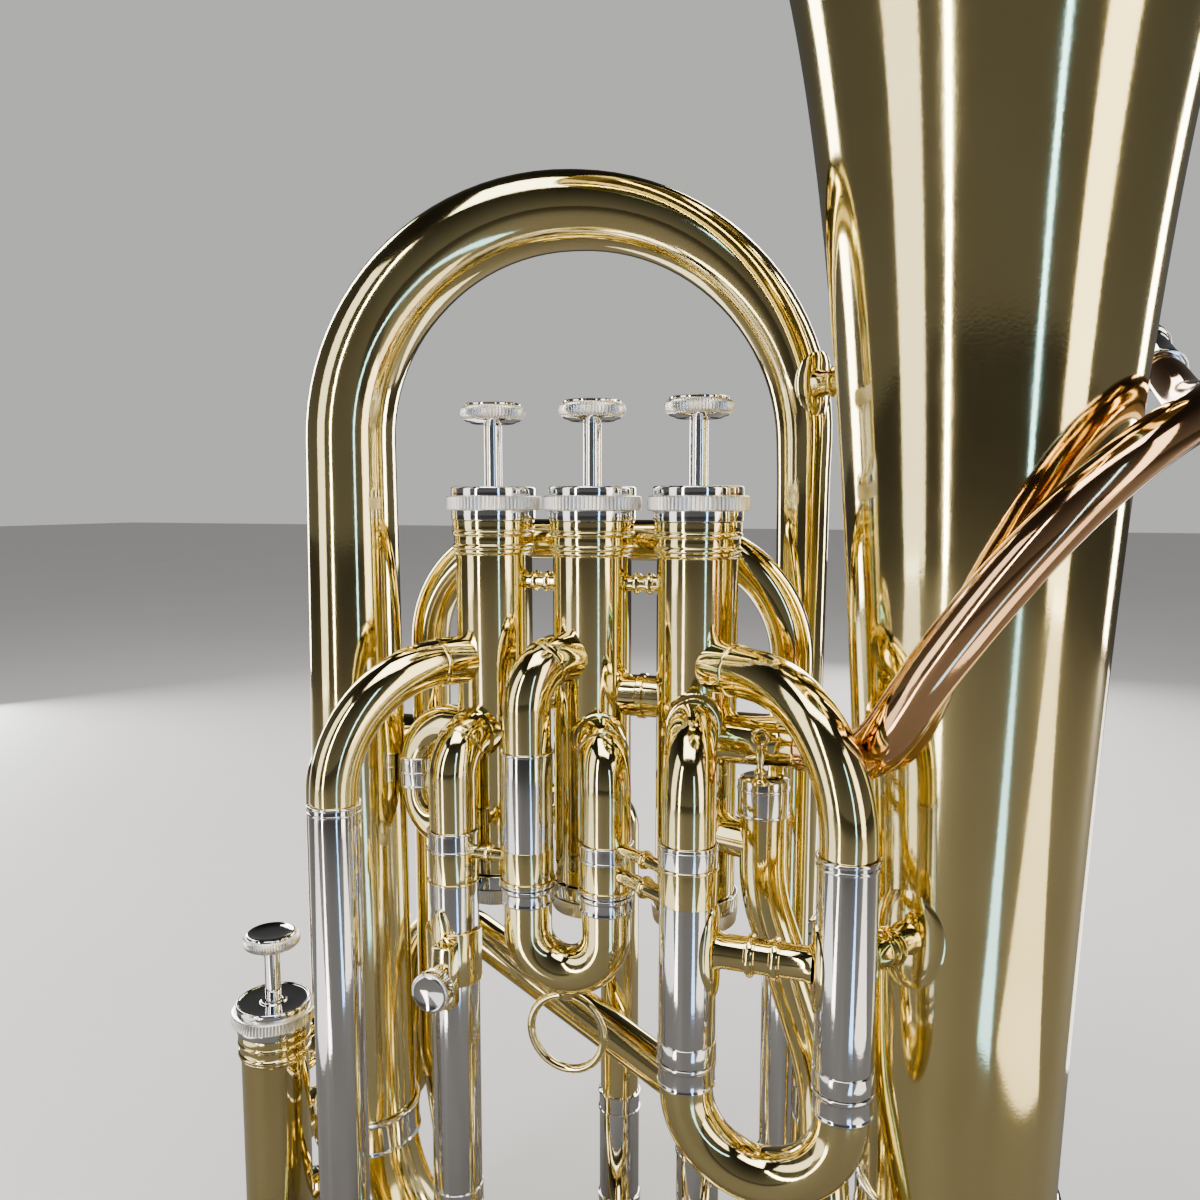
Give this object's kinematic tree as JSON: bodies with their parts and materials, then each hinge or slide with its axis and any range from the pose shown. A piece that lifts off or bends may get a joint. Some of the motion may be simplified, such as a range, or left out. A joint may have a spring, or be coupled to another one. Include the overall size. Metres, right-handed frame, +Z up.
{
  "type": "euphonium",
  "caption": "Compensating euphonium with an upright conical bell, top piston valves and a low side valve, sprung pistons, tuning slides that pull out, and a water key.",
  "frame": {"origin": "centre of the flat foot of the guard under the bottom bow, which is the lowest face", "axes": "+Z up along the bell and the valves, +X from the valves towards the bell, +Y towards the player; the leadpipe and the first slide show on the -Y side"},
  "size_m": [0.442, 0.3036, 0.6568],
  "materials": {
    "lacquered_brass": "polished and lacquered",
    "nickel_silver": "polished nickel silver",
    "rose_brass": "polished and lacquered rose brass",
    "monel": "lapped satin",
    "spring_steel": "drawn wire"
  },
  "bodies": {
    "frame": {"valve_casing_1": "lacquered_brass", "top_cap_1": "nickel_silver", "bottom_cap_1": "nickel_silver", "valve_spring_1": "spring_steel", "valve_casing_2": "lacquered_brass", "top_cap_2": "nickel_silver", "bottom_cap_2": "nickel_silver", "valve_spring_2": "spring_steel", "valve_casing_3": "lacquered_brass", "top_cap_3": "nickel_silver", "bottom_cap_3": "nickel_silver", "valve_spring_3": "spring_steel", "valve_casing_4": "lacquered_brass", "top_cap_4": "nickel_silver", "bottom_cap_4": "nickel_silver", "valve_spring_4": "spring_steel", "first_slide_upper_leg": "lacquered_brass", "first_slide_lower_leg": "lacquered_brass", "second_slide_upper_leg": "lacquered_brass", "second_slide_lower_leg": "lacquered_brass", "third_slide_upper_leg": "lacquered_brass", "third_slide_lower_leg": "lacquered_brass", "back_arch": "lacquered_brass", "valve_link": "lacquered_brass", "third_compensating_loop": "lacquered_brass", "fourth_loop": "lacquered_brass", "fourth_loop_return": "lacquered_brass", "bell": "lacquered_brass", "bell_ferrule": "nickel_silver", "bottom_bow": "lacquered_brass", "bottom_bow_guard": "nickel_silver", "bow_ferrule": "nickel_silver", "main_bow": "lacquered_brass", "bow_bell_brace": "lacquered_brass", "leadpipe": "rose_brass", "mouthpiece_receiver": "nickel_silver", "valve_knuckle_12": "lacquered_brass", "valve_knuckle_23": "lacquered_brass", "valve_brace_12": "lacquered_brass", "valve_brace_23": "lacquered_brass", "first_slide_brace": "lacquered_brass", "bell_slide_brace": "lacquered_brass", "compensating_return": "lacquered_brass", "lyre_holder": "lacquered_brass"},
    "valve_1": {"piston_1": "monel", "finger_button_1": "nickel_silver"},
    "valve_2": {"piston_2": "monel", "finger_button_2": "nickel_silver"},
    "valve_3": {"piston_3": "monel", "finger_button_3": "nickel_silver"},
    "valve_4": {"piston_4": "monel", "finger_button_4": "nickel_silver"},
    "first_slide": {"first_slide_crook": "lacquered_brass"},
    "second_slide": {"second_slide_crook": "lacquered_brass"},
    "third_slide": {"third_slide_crook": "lacquered_brass"},
    "fourth_slide": {"fourth_slide_crook": "lacquered_brass"},
    "main_slide": {"main_tuning_slide": "lacquered_brass", "water_key_saddle": "nickel_silver"},
    "key_lever": {"water_key": "nickel_silver"},
    "lyre_screw": {"lyre_thumbscrew": "nickel_silver"}
  },
  "joints": [
    {"name": "valve_1_press", "type": "slide", "parent": "frame", "child": "valve_1", "axis": [0, 0, -1], "range_m": [0, 0.0165], "stiffness_N_per_m": 140, "springref_m": -0.022, "deforming": ["valve_spring_1"]},
    {"name": "valve_2_press", "type": "slide", "parent": "frame", "child": "valve_2", "axis": [0, 0, -1], "range_m": [0, 0.0165], "stiffness_N_per_m": 140, "springref_m": -0.022, "deforming": ["valve_spring_2"]},
    {"name": "valve_3_press", "type": "slide", "parent": "frame", "child": "valve_3", "axis": [0, 0, -1], "range_m": [0, 0.0165], "stiffness_N_per_m": 140, "springref_m": -0.022, "deforming": ["valve_spring_3"]},
    {"name": "valve_4_press", "type": "slide", "parent": "frame", "child": "valve_4", "axis": [0, 0, -1], "range_m": [0, 0.0165], "stiffness_N_per_m": 140, "springref_m": -0.022, "deforming": ["valve_spring_4"]},
    {"name": "first_slide_pull", "type": "slide", "parent": "frame", "child": "first_slide", "axis": [0, 0, -1], "range_m": [0, 0.035]},
    {"name": "second_slide_pull", "type": "slide", "parent": "frame", "child": "second_slide", "axis": [0, 0, -1], "range_m": [0, 0.008]},
    {"name": "third_slide_pull", "type": "slide", "parent": "frame", "child": "third_slide", "axis": [0, 0, -1], "range_m": [0, 0.04]},
    {"name": "fourth_slide_pull", "type": "slide", "parent": "frame", "child": "fourth_slide", "axis": [0, 0, -1], "range_m": [0, 0.02]},
    {"name": "main_slide_pull", "type": "slide", "parent": "frame", "child": "main_slide", "axis": [0, 0, -1], "range_m": [0, 0.012]},
    {"name": "water_key_lift", "type": "hinge", "parent": "main_slide", "child": "key_lever", "pos_m": [0.05, 0.026, 0.0832], "axis": [1, 0, 0], "range_deg": [-14, 0], "stiffness_Nm_per_rad": 0.03, "springref_deg": 34.38},
    {"name": "lyre_screw_turn", "type": "hinge", "parent": "frame", "child": "lyre_screw", "pos_m": [-0.0532, -0.058, 0.2155], "axis": [0, 1, 0], "continuous": true}
  ]
}
